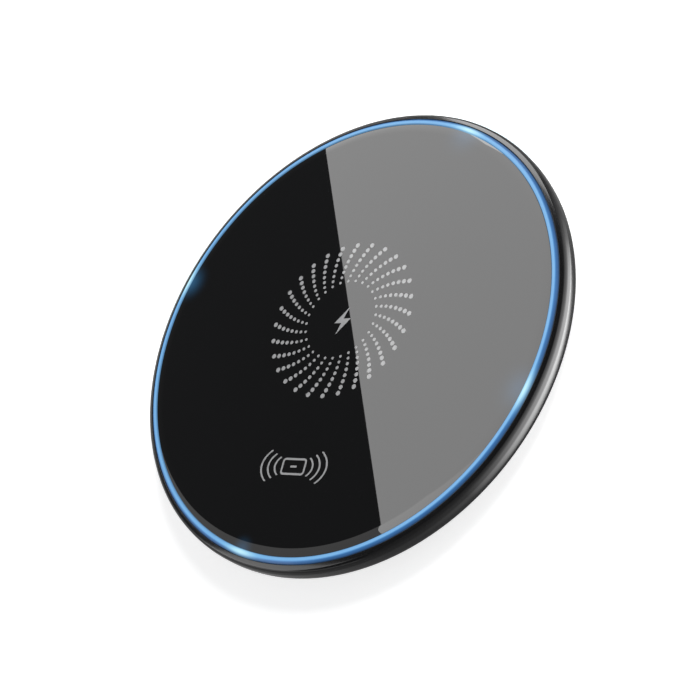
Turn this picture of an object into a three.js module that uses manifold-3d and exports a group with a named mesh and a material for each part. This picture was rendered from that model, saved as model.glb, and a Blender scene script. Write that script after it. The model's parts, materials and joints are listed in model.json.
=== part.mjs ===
// Round wireless charging pad, lying on its rubber foot. Units are mm.
// +Z points up out of the glass, +X is the way the printed symbol reads,
// and +Y points to the rear, where the USB-C port is.
import * as THREE from 'three';
import { mergeVertices } from 'three/addons/utils/BufferGeometryUtils.js';
import Module from 'manifold-3d';

const wasm = await Module();
wasm.setup();

// ---------------------------------------------------------------- driving dimensions

const PAD_RADIUS = 50;
const PAD_HEIGHT = 7.5;
const ROUND_SEGMENTS = 64;        // facets round every large turned piece
const SMALL_SEGMENTS = 20;        // facets round screws, holes and bosses
const FIT_GAP = 0.1;              // clearance between pieces that drop into each other

// Underside
const FOOT_INNER = 36.3;
const FOOT_OUTER = 43.7;
const BASE_BOTTOM = 0.5;          // the foot stands this far out of the base cover
const BASE_TOP = 1.5;
const BASE_RADIUS = 45.2;
const GROOVE_TOP = 0.8;           // floor of the groove that the foot is glued into
const LABEL_RADIUS = 18;
const LABEL_THICKNESS = 0.1;
const LABEL_POCKET_TOP = 0.65;

// Side frame
const FRAME_BOTTOM = 0.7;
const FRAME_FOOT_RADIUS = 46.7;   // where the tapered underside meets the frame's bottom
const FRAME_INNER = 47.9;         // inside of the wall, round the circuit board
const LEDGE_INNER = 43.9;         // the ledge sits on the base cover
const LEDGE_TOP = 2.3;

// Light guide ring: an upright lip that shows, and a flange that carries the glass
const GUIDE_SEAT = 5.0;
const LIP_INNER = 47.1;
const LIP_OUTER = 48.5;
const LIP_TOP = 7.45;             // the lip's top slopes down from here to its outer edge
const LIP_OUTER_TOP = 7.0;
const FLANGE_INNER = 44.5;
const FLANGE_TOP = 6.2;
const REFLECTOR_THICKNESS = 0.1;

// Top glass
const GLASS_BOTTOM = 6.4;
const GLASS_RADIUS = LIP_INNER - FIT_GAP;
const GLASS_ROUNDING_START = 45.0;

// Circuit board and the charging coil stacked on it
const BOARD_RADIUS = 47.3;
const BOARD_BOTTOM = 2.8;
const BOARD_TOP = 3.6;
const FERRITE_RADIUS = 26;
const FERRITE_BOTTOM = 3.7;
const FERRITE_TOP = 4.7;
const FERRITE_SLOT_WIDTH = 3.4;   // the coil's inner lead leaves through this slot
const FERRITE_SLOT_START = 8;
const COIL_GLUE_TOP = 4.8;
const COIL_GLUE_INNER = 10.8;
const COIL_GLUE_OUTER = 24.8;
const WIRE_RADIUS = 0.54;
const WIRE_SIDES = 6;
const COIL_FIRST_RADIUS = 10.6;
const COIL_PITCH = 1.35;
const COIL_START_DEG = 310;
const COIL_TURNS = 9.8;

// USB-C receptacle, set into the board's edge so that its middle is the board's middle
const PORT_Z = (BOARD_BOTTOM + BOARD_TOP) / 2;
const PORT_WIDTH = 8.94;
const PORT_HEIGHT = 3.16;
const PORT_WALL = 0.3;
const MOUTH_WIDTH = PORT_WIDTH - 2 * PORT_WALL;
const MOUTH_HEIGHT = PORT_HEIGHT - 2 * PORT_WALL;
const PORT_FRONT = 49.4;
const PORT_LENGTH = 7.3;
const PORT_FACET_Y = 49.6;        // the wall is flat here, round the port's mouth
const PORT_COLLAR_WIDTH = 12.4;
const PORT_COLLAR_HEIGHT = 4.8;
const PORT_FACET_TOP = 5.2;

// Fasteners
const CASE_SCREW_CIRCLE = 40;
const CASE_SCREW_DEGS = [45, 135, 225, 315];
const LUG_RADIUS = 2.5;
const LUG_TOP = 2.6;
const BOARD_SCREW_CIRCLE = 34;
const BOARD_SCREW_DEGS = [30, 150, 270];
const SHANK_RADIUS = 0.8;
const PILOT_RADIUS = 0.85;

// LEDs under the light guide's flange
const LED_CIRCLE = 46.2;
const LED_DEGS = [66.8, 164.6, 258.6, 344.5];
const LED_SIZE = [0.8, 1.6, 0.7];

// ---------------------------------------------------------------- helpers

const radians = THREE.MathUtils.degToRad;

// A point on a circle round the pad's axis.
function polar(radius, degrees) {
  const angle = radians(degrees);
  return [radius * Math.cos(angle), radius * Math.sin(angle)];
}

// A solid of revolution about +Z. The [radius, z] profile runs anticlockwise.
function turned(profile, segments = ROUND_SEGMENTS) {
  const points = profile.map(([radius, z]) => new THREE.Vector2(radius, z));
  const onAxis = profile[0][0] === 0 && profile[profile.length - 1][0] === 0;
  if (!onAxis) {
    points.push(points[0].clone());
  }
  return new THREE.LatheGeometry(points, segments).rotateX(Math.PI / 2);
}

// A flat ring of rectangular section between two radii and two heights.
function ring(inner, outer, bottom, top) {
  return turned([[inner, bottom], [outer, bottom], [outer, top], [inner, top]]);
}

// An upright disc or cylinder.
function disc(radius, bottom, top, segments = SMALL_SEGMENTS) {
  return turned([[0, bottom], [radius, bottom], [radius, top], [0, top]], segments);
}

// A box given by its size and the centre of its bottom face.
function block([sizeX, sizeY, sizeZ], [x, y, bottom]) {
  return new THREE.BoxGeometry(sizeX, sizeY, sizeZ).translate(x, y, bottom + sizeZ / 2);
}

// A box on a circle round the pad's axis, its first side pointing outwards.
function radialBlock(size, radius, degrees, bottom) {
  return block(size, [radius, 0, bottom]).rotateZ(radians(degrees));
}

// A stadium-shaped bar along +Y, for the USB-C shell, its mouth and the hole round it.
function stadiumBar(width, height, yStart, yEnd) {
  const end = height / 2;
  const straight = width / 2 - end;
  const outline = new THREE.Shape();
  outline.absarc(straight, 0, end, -Math.PI / 2, Math.PI / 2, false);
  outline.absarc(-straight, 0, end, Math.PI / 2, Math.PI * 1.5, false);
  const bar = new THREE.ExtrudeGeometry(outline, {
    depth: yEnd - yStart,
    bevelEnabled: false,
    curveSegments: 8,
  });
  return bar.rotateX(Math.PI / 2).translate(0, yEnd, PORT_Z);
}

function toManifold(geometry) {
  const bare = geometry.clone();
  bare.deleteAttribute('normal');
  bare.deleteAttribute('uv');
  const merged = mergeVertices(bare, 1e-4);
  return new wasm.Manifold(new wasm.Mesh({
    numProp: 3,
    vertProperties: new Float32Array(merged.attributes.position.array),
    triVerts: new Uint32Array(merged.index.array),
  }));
}

function toGeometry(manifold) {
  const mesh = manifold.getMesh();
  const geometry = new THREE.BufferGeometry();
  geometry.setAttribute('position', new THREE.BufferAttribute(new Float32Array(mesh.vertProperties), 3));
  geometry.setIndex(new THREE.BufferAttribute(new Uint32Array(mesh.triVerts), 1));
  geometry.computeVertexNormals();
  return geometry;
}

// The base geometry with some geometries added and then others cut away.
function shaped(base, { add = [], cut = [] }) {
  let solid = toManifold(base);
  for (const extra of add) {
    solid = solid.add(toManifold(extra));
  }
  for (const tool of cut) {
    solid = solid.subtract(toManifold(tool));
  }
  return toGeometry(solid);
}

const pad = new THREE.Group();
pad.name = 'wireless_charging_pad';

function addPiece(name, geometry, { color, roughness, metalness = 0, emissive = 0x000000 }) {
  const material = new THREE.MeshStandardMaterial({ color, roughness, metalness, emissive });
  material.name = name;
  const mesh = new THREE.Mesh(geometry, material);
  mesh.name = name;
  pad.add(mesh);
}

// ---------------------------------------------------------------- finishes

const GLOSS_BLACK_GLASS = { color: 0x101113, roughness: 0.04 };
const GLOSS_BLACK_PLASTIC = { color: 0x0c0d0f, roughness: 0.12 };
const MATTE_BLACK_PLASTIC = { color: 0x17181a, roughness: 0.6 };
const GLOWING_ACRYLIC = { color: 0x8fcdf0, roughness: 0.3, emissive: 0x2f7fc4 };
const CLEAR_ADHESIVE = { color: 0xb9b9b2, roughness: 0.5 };
const WHITE_FILM = { color: 0xeeeeea, roughness: 0.4 };
const BLACK_RUBBER = { color: 0x1b1c1e, roughness: 0.9 };
const LABEL_PAPER = { color: 0xb4b6b8, roughness: 0.55 };
const COPPER_WIRE = { color: 0xb5622c, roughness: 0.4, metalness: 0.8 };
const FERRITE = { color: 0x2c2b2a, roughness: 0.7 };
const BOARD_GREEN = { color: 0x0f4a2c, roughness: 0.45 };
const STEEL = { color: 0xb6b8bb, roughness: 0.3, metalness: 1 };
const CHIP_EPOXY = { color: 0x1c1d1f, roughness: 0.65 };
const CERAMIC = { color: 0x9a7b57, roughness: 0.5 };
const LED_WHITE = { color: 0xf2f1e4, roughness: 0.4 };
const THERMISTOR_EPOXY = { color: 0x23262b, roughness: 0.5 };

// ---------------------------------------------------------------- top glass and light ring

function topGlass() {
  return turned([
    [0, GLASS_BOTTOM],
    [GLASS_RADIUS - 0.25, GLASS_BOTTOM],
    [GLASS_RADIUS, GLASS_BOTTOM + 0.2],
    [GLASS_RADIUS, PAD_HEIGHT - 0.5],
    [GLASS_RADIUS - 0.12, PAD_HEIGHT - 0.34],
    [GLASS_RADIUS - 0.55, PAD_HEIGHT - 0.17],
    [GLASS_RADIUS - 1.3, PAD_HEIGHT - 0.05],
    [GLASS_ROUNDING_START, PAD_HEIGHT],
    [0, PAD_HEIGHT],
  ]);
}

function lightGuideRing() {
  const edge = 0.12;
  return turned([
    [FLANGE_INNER, GUIDE_SEAT],
    [LIP_OUTER, GUIDE_SEAT],
    [LIP_OUTER, LIP_OUTER_TOP],
    [LIP_OUTER - edge, LIP_OUTER_TOP + edge],
    [LIP_INNER + 0.5, LIP_TOP],
    [LIP_INNER + edge, LIP_TOP],
    [LIP_INNER, LIP_TOP - edge],
    [LIP_INNER, FLANGE_TOP],
    [FLANGE_INNER, FLANGE_TOP],
  ]);
}

function reflectorFilm() {
  const bottom = GUIDE_SEAT - REFLECTOR_THICKNESS;
  const film = ring(FLANGE_INNER + FIT_GAP, FRAME_INNER - FIT_GAP, bottom, GUIDE_SEAT);
  const windows = LED_DEGS.map((degrees) => radialBlock([1.4, 2.4, 1], LED_CIRCLE, degrees, bottom - 0.5));
  return shaped(film, { cut: windows });
}

addPiece('top_glass', topGlass(), GLOSS_BLACK_GLASS);
addPiece(
  'glass_adhesive_ring',
  ring(FLANGE_INNER + 0.2, GLASS_RADIUS - 0.3, FLANGE_TOP, GLASS_BOTTOM),
  CLEAR_ADHESIVE,
);
addPiece('light_guide_ring', lightGuideRing(), GLOWING_ACRYLIC);
addPiece('reflector_film', reflectorFilm(), WHITE_FILM);

// ---------------------------------------------------------------- case

function sideFrame() {
  const inner = LIP_OUTER + FIT_GAP;
  const wall = turned([
    [BASE_RADIUS + FIT_GAP, FRAME_BOTTOM],
    [FRAME_FOOT_RADIUS, FRAME_BOTTOM],
    [PAD_RADIUS - 0.35, 2.6],
    [PAD_RADIUS - 0.08, 2.9],
    [PAD_RADIUS, 3.3],
    [PAD_RADIUS, 5.3],
    [PAD_RADIUS - 0.1, 5.85],
    [PAD_RADIUS - 0.35, 6.35],
    [PAD_RADIUS - 0.72, 6.72],
    [PAD_RADIUS - 1.1, 6.94],
    [inner, LIP_OUTER_TOP + 0.05],
    [inner, GUIDE_SEAT],
    [FRAME_INNER, GUIDE_SEAT],
    [FRAME_INNER, LEDGE_TOP],
    [LEDGE_INNER, LEDGE_TOP],
    [LEDGE_INNER, BASE_TOP],
    [BASE_RADIUS + FIT_GAP, BASE_TOP],
  ]);
  const collarBar = stadiumBar(PORT_COLLAR_WIDTH, PORT_COLLAR_HEIGHT, FRAME_INNER - 0.6, PORT_FACET_Y);
  const guideSpace = disc(inner, GUIDE_SEAT - REFLECTOR_THICKNESS - FIT_GAP, PAD_HEIGHT, ROUND_SEGMENTS);
  const portCollar = shaped(collarBar, { cut: [guideSpace] });
  const lugs = CASE_SCREW_DEGS.flatMap((degrees) => {
    const [x, y] = polar(CASE_SCREW_CIRCLE, degrees);
    const reach = LEDGE_INNER + 0.6 - CASE_SCREW_CIRCLE;
    return [
      disc(LUG_RADIUS, BASE_TOP, LUG_TOP).translate(x, y, 0),
      radialBlock([reach, 4, LEDGE_TOP - BASE_TOP], CASE_SCREW_CIRCLE + reach / 2, degrees, BASE_TOP),
    ];
  });
  const pilots = CASE_SCREW_DEGS.map((degrees) => {
    const [x, y] = polar(CASE_SCREW_CIRCLE, degrees);
    return disc(PILOT_RADIUS, BASE_TOP - 1, LUG_TOP + 1).translate(x, y, 0);
  });
  const facet = block([30, 5, PORT_FACET_TOP + 1], [0, PORT_FACET_Y + 2.5, -1]);
  const mouth = stadiumBar(PORT_WIDTH + 0.2, PORT_HEIGHT + 0.14, LEDGE_INNER - 2, PAD_RADIUS + 1);
  const shellBay = block(
    [PORT_WIDTH + 2.6, FRAME_INNER - LEDGE_INNER + 2, LEDGE_TOP - BASE_TOP + 1],
    [0, (FRAME_INNER + LEDGE_INNER - 2) / 2, BASE_TOP],
  );
  return shaped(wall, { add: [portCollar, ...lugs], cut: [facet, shellBay, mouth, ...pilots] });
}

function baseCover() {
  const plate = turned([
    [0, LABEL_POCKET_TOP],
    [LABEL_RADIUS + 0.2, LABEL_POCKET_TOP],
    [LABEL_RADIUS + 0.2, BASE_BOTTOM],
    [FOOT_INNER - FIT_GAP, BASE_BOTTOM],
    [FOOT_INNER - FIT_GAP, GROOVE_TOP],
    [FOOT_OUTER + FIT_GAP, GROOVE_TOP],
    [FOOT_OUTER + FIT_GAP, BASE_BOTTOM],
    [BASE_RADIUS - 0.2, BASE_BOTTOM],
    [BASE_RADIUS, BASE_BOTTOM + 0.2],
    [BASE_RADIUS, BASE_TOP],
    [0, BASE_TOP],
  ]);
  const bosses = BOARD_SCREW_DEGS.map((degrees) => {
    const [x, y] = polar(BOARD_SCREW_CIRCLE, degrees);
    return disc(LUG_RADIUS, BASE_TOP - 0.2, BOARD_BOTTOM).translate(x, y, 0);
  });
  const bossPilots = BOARD_SCREW_DEGS.map((degrees) => {
    const [x, y] = polar(BOARD_SCREW_CIRCLE, degrees);
    return disc(PILOT_RADIUS, BASE_TOP - 0.4, BOARD_BOTTOM + 1).translate(x, y, 0);
  });
  const countersinks = CASE_SCREW_DEGS.map((degrees) => {
    const [x, y] = polar(CASE_SCREW_CIRCLE, degrees);
    const hole = turned([
      [0, GROOVE_TOP - 1],
      [1.75, GROOVE_TOP - 1],
      [1.75, GROOVE_TOP + 0.05],
      [PILOT_RADIUS + 0.1, GROOVE_TOP + 0.55],
      [PILOT_RADIUS + 0.1, BASE_TOP + 1],
      [0, BASE_TOP + 1],
    ], SMALL_SEGMENTS);
    return hole.translate(x, y, 0);
  });
  return shaped(plate, { add: bosses, cut: [...bossPilots, ...countersinks] });
}

function antiSlipRing() {
  const edge = 0.15;
  return turned([
    [FOOT_INNER, edge],
    [FOOT_INNER + edge, 0],
    [FOOT_OUTER - edge, 0],
    [FOOT_OUTER, edge],
    [FOOT_OUTER, GROOVE_TOP - 0.02],
    [FOOT_INNER, GROOVE_TOP - 0.02],
  ]);
}

addPiece('side_frame', sideFrame(), GLOSS_BLACK_PLASTIC);
addPiece('base_cover', baseCover(), MATTE_BLACK_PLASTIC);
addPiece('anti_slip_ring', antiSlipRing(), BLACK_RUBBER);
addPiece(
  'rating_label',
  disc(LABEL_RADIUS, LABEL_POCKET_TOP - LABEL_THICKNESS, LABEL_POCKET_TOP, ROUND_SEGMENTS),
  LABEL_PAPER,
);

// ---------------------------------------------------------------- charging coil and ferrite

const leadSlot = () => block(
  [FERRITE_SLOT_WIDTH, FERRITE_RADIUS, 4],
  [0, -FERRITE_SLOT_START - FERRITE_RADIUS / 2, BOARD_TOP - 1],
);

// One litz wire: board pad, lead under the winding, spiral outwards, lead back to the board.
function coilWire() {
  const windingZ = COIL_GLUE_TOP + WIRE_RADIUS + 0.06;
  const leadZ = BOARD_TOP + WIRE_RADIUS + 0.04;
  const point = (x, y, z) => new THREE.Vector3(x, y, z);
  const path = [
    point(0.95, -31, leadZ),
    point(0.95, -25, leadZ),
    point(0.95, -18, leadZ),
    point(0.95, -12, leadZ),
    point(0.95, -10.8, leadZ + 0.35),
    point(1.05, -9.6, leadZ + 0.9),
    point(2.3, -8.8, windingZ),
  ];
  const stepDegrees = 15;
  const steps = Math.round(COIL_TURNS * 360 / stepDegrees);
  for (let step = 0; step <= steps; step += 1) {
    const turns = step * stepDegrees / 360;
    const [x, y] = polar(COIL_FIRST_RADIUS + COIL_PITCH * turns, COIL_START_DEG + 360 * turns);
    path.push(point(x, y, windingZ));
  }
  path.push(
    point(-6.2, -25.8, windingZ),
    point(-4.6, -27.8, windingZ - 0.6),
    point(-3.7, -29.4, leadZ),
    point(-3.5, -31, leadZ),
  );
  const curve = new THREE.CatmullRomCurve3(path, false, 'centripetal');
  curve.arcLengthDivisions = 4000;
  const section = new THREE.Shape();
  for (let side = 0; side < WIRE_SIDES; side += 1) {
    const [x, y] = polar(WIRE_RADIUS, side * 360 / WIRE_SIDES);
    if (side === 0) {
      section.moveTo(x, y);
    } else {
      section.lineTo(x, y);
    }
  }
  section.closePath();
  return new THREE.ExtrudeGeometry(section, { steps: 250, extrudePath: curve, bevelEnabled: false });
}

// Glass-bead thermistor in the middle of the coil, its leads running out through the slot.
function thermistor() {
  const ribbonX = -0.85;
  const ribbonWidth = 1.1;
  const ribbonThickness = 0.4;
  const low = BOARD_TOP + 0.02;
  const high = FERRITE_TOP + 0.02;
  const inside = -FERRITE_SLOT_START - 0.4;
  const ribbon = block(
    [ribbonWidth, -inside, ribbonThickness],
    [ribbonX, inside / 2, high],
  );
  const drop = block(
    [ribbonWidth, ribbonThickness, high + ribbonThickness - low],
    [ribbonX, inside - ribbonThickness / 2, low],
  );
  const tailLength = 20;
  const tailY = inside - (tailLength + ribbonThickness) / 2;
  const tail = block([ribbonWidth, tailLength, ribbonThickness], [ribbonX, tailY, low]);
  const bead = new THREE.SphereGeometry(0.8, 14, 8).scale(1.2, 1, 0.7).translate(ribbonX, 0, high + 0.5);
  return shaped(bead, { add: [ribbon, drop, tail] });
}

addPiece('tx_coil', coilWire(), COPPER_WIRE);
addPiece(
  'coil_adhesive_ring',
  shaped(ring(COIL_GLUE_INNER, COIL_GLUE_OUTER, FERRITE_TOP, COIL_GLUE_TOP), { cut: [leadSlot()] }),
  CLEAR_ADHESIVE,
);
addPiece(
  'ferrite_plate',
  shaped(disc(FERRITE_RADIUS, FERRITE_BOTTOM, FERRITE_TOP, ROUND_SEGMENTS), { cut: [leadSlot()] }),
  FERRITE,
);
addPiece(
  'ferrite_adhesive_sheet',
  shaped(disc(FERRITE_RADIUS - 0.5, BOARD_TOP, FERRITE_BOTTOM, ROUND_SEGMENTS), { cut: [leadSlot()] }),
  CLEAR_ADHESIVE,
);
addPiece('thermistor', thermistor(), THERMISTOR_EPOXY);

// ---------------------------------------------------------------- circuit board and port

function mainBoard() {
  const notch = block(
    [PORT_WIDTH + 0.2, 12, 4],
    [0, PORT_FRONT - PORT_LENGTH - 0.1 + 6, BOARD_BOTTOM - 1],
  );
  const screwHoles = BOARD_SCREW_DEGS.map((degrees) => {
    const [x, y] = polar(BOARD_SCREW_CIRCLE, degrees);
    return disc(1, BOARD_BOTTOM - 1, BOARD_TOP + 1).translate(x, y, 0);
  });
  return shaped(disc(BOARD_RADIUS, BOARD_BOTTOM, BOARD_TOP, ROUND_SEGMENTS), { cut: [notch, ...screwHoles] });
}

function usbShell() {
  const back = PORT_FRONT - PORT_LENGTH;
  const tabX = PORT_WIDTH / 2 + 0.4;
  const tabs = [-tabX, tabX].map((x) => block([1.2, 1.6, 0.25], [x, back + 2.5, BOARD_TOP]));
  const cavity = stadiumBar(MOUTH_WIDTH, MOUTH_HEIGHT, back + PORT_WALL, PORT_FRONT + 1);
  return shaped(stadiumBar(PORT_WIDTH, PORT_HEIGHT, back, PORT_FRONT), { add: tabs, cut: [cavity] });
}

function usbTongue() {
  const inside = PORT_FRONT - PORT_LENGTH + PORT_WALL;
  const carrierLength = 1.4;
  const carrier = stadiumBar(MOUTH_WIDTH - FIT_GAP, MOUTH_HEIGHT - FIT_GAP, inside, inside + carrierLength);
  const tongueLength = 4.6;
  const tongue = block(
    [6.7, tongueLength, 0.7],
    [0, inside + carrierLength + tongueLength / 2 - 0.1, PORT_Z - 0.35],
  );
  return shaped(carrier, { add: [tongue] });
}

addPiece('main_board', mainBoard(), BOARD_GREEN);
addPiece('usb_c_shell', usbShell(), STEEL);
addPiece('usb_c_tongue', usbTongue(), CHIP_EPOXY);

// ---------------------------------------------------------------- components on the board

// Name, size [outwards, along the circle, up], circle radius, angle and finish.
const BOARD_COMPONENTS = [
  ['controller_ic', [7, 7, 0.85], 36, 205, CHIP_EPOXY],
  ['bridge_driver_ic', [5, 5, 0.85], 36, 236, CHIP_EPOXY],
  ['power_delivery_ic', [4, 4, 0.8], 38, 112, CHIP_EPOXY],
  ['voltage_regulator', [1.7, 3, 1.1], 38, 126, CHIP_EPOXY],
  ['crystal', [2.5, 3.2, 0.8], 36, 186, STEEL],
  ['sense_resistor', [1.6, 3.2, 0.6], 39, 254, CHIP_EPOXY],
  ['resonant_cap_1', [3.2, 1.6, 1.6], 34, 298, CERAMIC],
  ['resonant_cap_2', [3.2, 1.6, 1.6], 34, 304, CERAMIC],
  ['resonant_cap_3', [3.2, 1.6, 1.6], 34, 310, CERAMIC],
  ['resonant_cap_4', [3.2, 1.6, 1.6], 34, 316, CERAMIC],
  ['bulk_cap_1', [3.2, 2.5, 2], 37, 60, CERAMIC],
  ['bulk_cap_2', [3.2, 2.5, 2], 37, 68, CERAMIC],
];

for (const [name, size, radius, degrees, finish] of BOARD_COMPONENTS) {
  addPiece(name, radialBlock(size, radius, degrees, BOARD_TOP), finish);
}

LED_DEGS.forEach((degrees, index) => {
  addPiece(`led_${index + 1}`, radialBlock(LED_SIZE, LED_CIRCLE, degrees, BOARD_TOP), LED_WHITE);
});

// ---------------------------------------------------------------- screws

// Cross recess cut into a screw head whose driven face is at z, opening downwards or upwards.
function crossRecess(z, depth) {
  const bottom = depth > 0 ? z - 0.1 : z + depth;
  const height = Math.abs(depth) + 0.1;
  return [block([1.6, 0.35, height], [0, 0, bottom]), block([0.35, 1.6, height], [0, 0, bottom])];
}

// Countersunk, its driven face down, inside the foot's groove.
function caseScrew() {
  const face = GROOVE_TOP + 0.05;
  const body = turned([
    [0, face],
    [1.6, face],
    [SHANK_RADIUS, face + 0.5],
    [SHANK_RADIUS, LUG_TOP - 0.3],
    [0.3, LUG_TOP],
    [0, LUG_TOP],
  ], SMALL_SEGMENTS);
  return shaped(body, { cut: crossRecess(face, 0.25) });
}

// Pan head, resting on the board's top face.
function boardScrew() {
  const tip = BASE_TOP - 0.3;
  const headTop = BOARD_TOP + 0.7;
  const body = turned([
    [0, tip],
    [0.3, tip],
    [SHANK_RADIUS, tip + 0.3],
    [SHANK_RADIUS, BOARD_TOP],
    [1.7, BOARD_TOP],
    [1.7, headTop - 0.25],
    [1.3, headTop],
    [0, headTop],
  ], SMALL_SEGMENTS);
  return shaped(body, { cut: crossRecess(headTop, -0.35) });
}

function addScrews(prefix, build, circle, angles) {
  angles.forEach((degrees, index) => {
    const [x, y] = polar(circle, degrees);
    addPiece(`${prefix}_${index + 1}`, build().translate(x, y, 0), STEEL);
  });
}

addScrews('case_screw', caseScrew, CASE_SCREW_CIRCLE, CASE_SCREW_DEGS);
addScrews('board_screw', boardScrew, BOARD_SCREW_CIRCLE, BOARD_SCREW_DEGS);

export default pad;
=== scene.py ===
"""Visual model of a round wireless charging pad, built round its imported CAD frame."""

import json
import math

import bmesh
import bpy
from mathutils import Matrix, Vector


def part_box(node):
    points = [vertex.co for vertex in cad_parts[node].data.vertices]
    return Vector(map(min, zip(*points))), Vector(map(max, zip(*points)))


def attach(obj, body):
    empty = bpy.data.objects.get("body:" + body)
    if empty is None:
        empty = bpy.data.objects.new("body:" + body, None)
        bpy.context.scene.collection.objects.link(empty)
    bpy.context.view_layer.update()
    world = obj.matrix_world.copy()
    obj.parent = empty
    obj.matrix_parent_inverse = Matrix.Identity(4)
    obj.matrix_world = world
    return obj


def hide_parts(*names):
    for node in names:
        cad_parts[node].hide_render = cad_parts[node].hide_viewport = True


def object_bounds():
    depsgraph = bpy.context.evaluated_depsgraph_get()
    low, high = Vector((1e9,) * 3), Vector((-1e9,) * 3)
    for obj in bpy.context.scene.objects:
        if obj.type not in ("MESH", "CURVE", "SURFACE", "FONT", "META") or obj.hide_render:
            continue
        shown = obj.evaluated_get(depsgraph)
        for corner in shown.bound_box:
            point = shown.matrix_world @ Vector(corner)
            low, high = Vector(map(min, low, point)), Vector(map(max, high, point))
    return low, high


MM = 0.001
BODY = "root"

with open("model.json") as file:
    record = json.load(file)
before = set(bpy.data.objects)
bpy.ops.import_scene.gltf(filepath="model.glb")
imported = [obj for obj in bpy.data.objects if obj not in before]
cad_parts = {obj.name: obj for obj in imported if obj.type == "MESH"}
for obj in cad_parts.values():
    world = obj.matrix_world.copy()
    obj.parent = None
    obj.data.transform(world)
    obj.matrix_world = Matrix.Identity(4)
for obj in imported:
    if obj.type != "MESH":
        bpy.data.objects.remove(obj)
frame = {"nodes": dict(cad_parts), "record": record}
cad_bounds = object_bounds()

# ---------------------------------------------------------------- sizes, in millimetres

PAD_HEIGHT = cad_bounds[1][2] / MM
PAD_RADIUS = cad_bounds[1][0] / MM
SEGMENTS = 256                       # facets round the large turned pieces
CORNER_STEPS = 5                     # facets in each rounded corner
SHARP_DEGREES = 35.0                 # edges sharper than this aren't smoothed
CUT_SHARP_DEGREES = 28.0             # the same, for pieces made by joining and cutting
MERGE_DISTANCE = 1e-7                # metres


def top_of(node):
    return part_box(node)[1][2] / MM


def bottom_of(node):
    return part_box(node)[0][2] / MM


def radius_of(node):
    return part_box(node)[1][0] / MM


GLASS_RADIUS = radius_of("top_glass")
GLASS_BOTTOM = bottom_of("top_glass")
LIP_OUTER = radius_of("light_guide_ring")
LIP_INNER = GLASS_RADIUS + 0.1
LIP_TOP = top_of("light_guide_ring") + 0.03
LIP_OUTER_TOP = 7.02
GUIDE_SEAT = bottom_of("light_guide_ring")
BASE_RADIUS = radius_of("base_cover")
FOOT_TOP = top_of("anti_slip_ring")
FOOT_OUTER = radius_of("anti_slip_ring")
FOOT_INNER = 36.3
LABEL_RADIUS = radius_of("rating_label")
FRAME_BOTTOM = bottom_of("side_frame")
PORT_Z = (top_of("usb_c_shell") + bottom_of("usb_c_shell")) / 2
PORT_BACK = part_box("usb_c_shell")[0][1] / MM
PORT_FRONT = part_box("usb_c_shell")[1][1] / MM
PORT_WIDTH = 8.94
PORT_HEIGHT = 3.16
PORT_WALL = 0.3
PORT_FACET_Y = 49.6

LED_DEGREES = (66.8, 164.6, 258.6, 344.5)

# ---------------------------------------------------------------- mesh helpers


def arc_corner(previous, corner, following, radius):
    """Points of a rounded corner between two straight stretches of a profile."""
    corner = Vector(corner)
    to_previous = Vector(previous) - corner
    to_following = Vector(following) - corner
    angle = to_previous.angle(to_following)
    reach = min(
        radius / math.tan(angle / 2),
        0.49 * to_previous.length,
        0.49 * to_following.length,
    )
    start = corner + to_previous.normalized() * reach
    end = corner + to_following.normalized() * reach
    points = []
    for step in range(CORNER_STEPS + 1):
        t = step / CORNER_STEPS
        points.append(start * (1 - t) ** 2 + corner * 2 * t * (1 - t) + end * t ** 2)
    return points


def rounded(profile, closed=True):
    """A profile of (r, z, corner radius) as a list of points, its corners rounded."""
    count = len(profile)
    points = []
    for index, (r, z, corner_radius) in enumerate(profile):
        is_end = not closed and index in (0, count - 1)
        if corner_radius == 0 or is_end:
            points.append(Vector((r, z)))
            continue
        previous = profile[index - 1][:2]
        following = profile[(index + 1) % count][:2]
        points.extend(arc_corner(previous, (r, z), following, corner_radius))
    return points


def finish_mesh(name, bm):
    """An object made of a bmesh, smooth but for its sharp edges."""
    bmesh.ops.remove_doubles(bm, verts=bm.verts, dist=MERGE_DISTANCE)
    bmesh.ops.recalc_face_normals(bm, faces=bm.faces)
    mesh = bpy.data.meshes.new(name)
    bm.to_mesh(mesh)
    bm.free()
    mesh.shade_smooth()
    mesh.set_sharp_from_angle(angle=math.radians(SHARP_DEGREES))
    obj = bpy.data.objects.new(name, mesh)
    bpy.context.scene.collection.objects.link(obj)
    return obj


def bridge_loops(bm, first, second):
    count = len(first)
    for index in range(count):
        following = (index + 1) % count
        bm.faces.new((first[index], first[following], second[following], second[index]))


def turned(name, profile, closed):
    """A solid of revolution about +Z. An open profile starts and ends on the axis."""
    bm = bmesh.new()
    points = rounded(profile, closed)
    loops = []
    for point in points:
        if point.x < 1e-6:
            loops.append([bm.verts.new((0, 0, point.y * MM))])
            continue
        loops.append([
            bm.verts.new((
                point.x * MM * math.cos(2 * math.pi * step / SEGMENTS),
                point.x * MM * math.sin(2 * math.pi * step / SEGMENTS),
                point.y * MM,
            ))
            for step in range(SEGMENTS)
        ])
    pairs = list(zip(loops, loops[1:]))
    if closed:
        pairs.append((loops[-1], loops[0]))
    for first, second in pairs:
        if len(first) > 1 and len(second) > 1:
            bridge_loops(bm, first, second)
        elif len(first) != len(second):
            pole, loop = (first[0], second) if len(first) == 1 else (second[0], first)
            for index in range(len(loop)):
                bm.faces.new((pole, loop[index], loop[(index + 1) % len(loop)]))
    return finish_mesh(name, bm)


def stadium(width, height, steps=10):
    """Outline of a stadium in (x, z), in millimetres, centred on the origin."""
    end = height / 2
    straight = width / 2 - end
    points = []
    for side in (1, -1):
        for step in range(steps + 1):
            angle = -math.pi / 2 + math.pi * step / steps
            points.append((side * (straight + end * math.cos(angle)), side * end * math.sin(angle)))
    return points


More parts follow.
